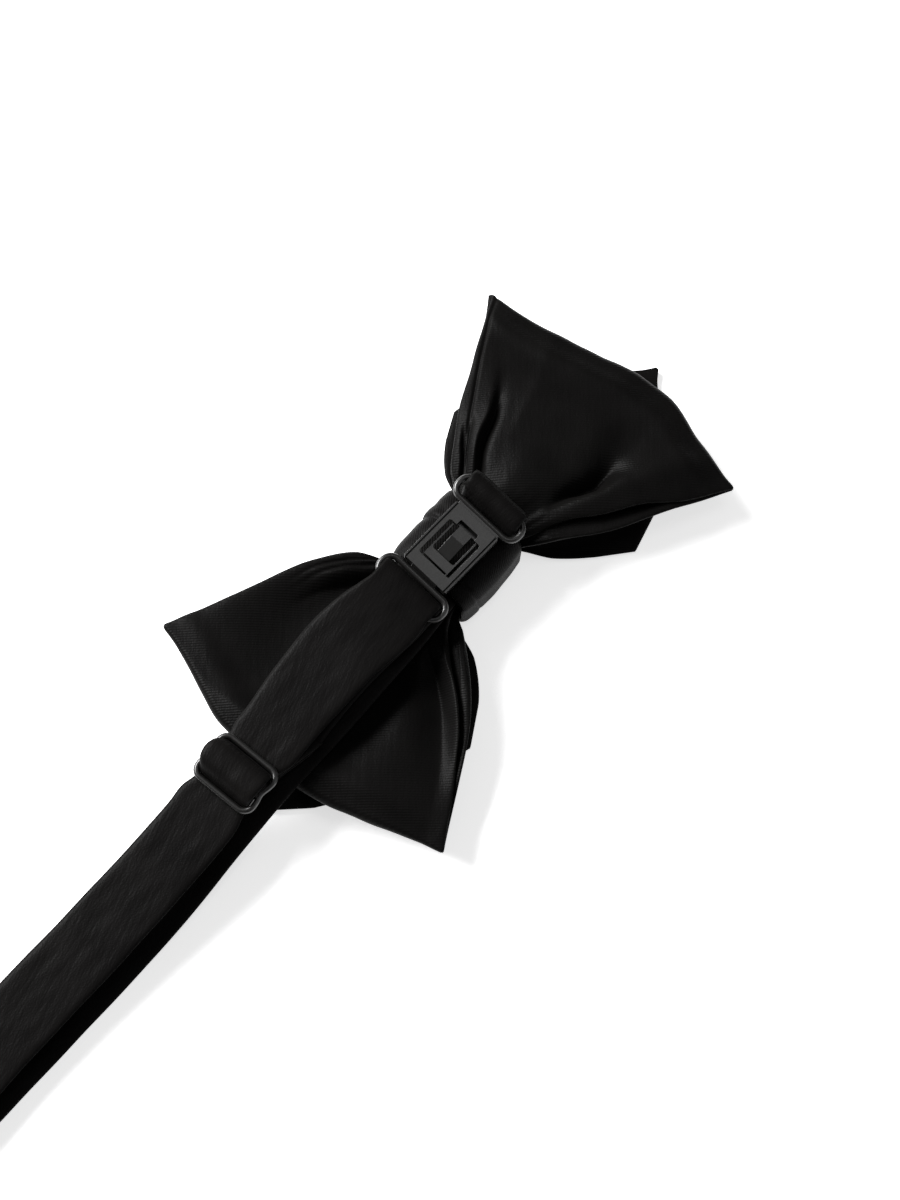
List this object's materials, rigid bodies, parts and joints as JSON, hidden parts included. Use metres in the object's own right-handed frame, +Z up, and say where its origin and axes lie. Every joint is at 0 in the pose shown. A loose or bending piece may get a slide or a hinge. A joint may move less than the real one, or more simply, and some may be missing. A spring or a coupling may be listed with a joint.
{
  "type": "diamond point bow tie",
  "caption": "Pre-tied layered bow tie with diamond points, a centre knot and a fastened neck strap with a hook clasp and a length slider.",
  "frame": {"origin": "the middle of the centre knot's front face, on the surface that the tie lies on", "axes": "+X along the bow, away from the neck strap; +Y across the bow; +Z up, out of the bow's back, towards the wearer's neck"},
  "size_m": [0.2681, 0.0749, 0.0215],
  "materials": {
    "satin": "black satin with a soft sheen and a fine twill",
    "strap_satin": "black satin ribbon with a wavy cross grain",
    "black_metal": "semi-gloss black enamel on wire and folded sheet"
  },
  "bodies": {
    "root": {"back_bow": "satin", "front_bow": "satin", "centre_knot": "satin", "neck_strap": "strap_satin", "strap_tab": "strap_satin", "clasp_eye": "black_metal", "clasp_hook": "black_metal", "strap_slider": "black_metal"}
  },
  "joints": []
}
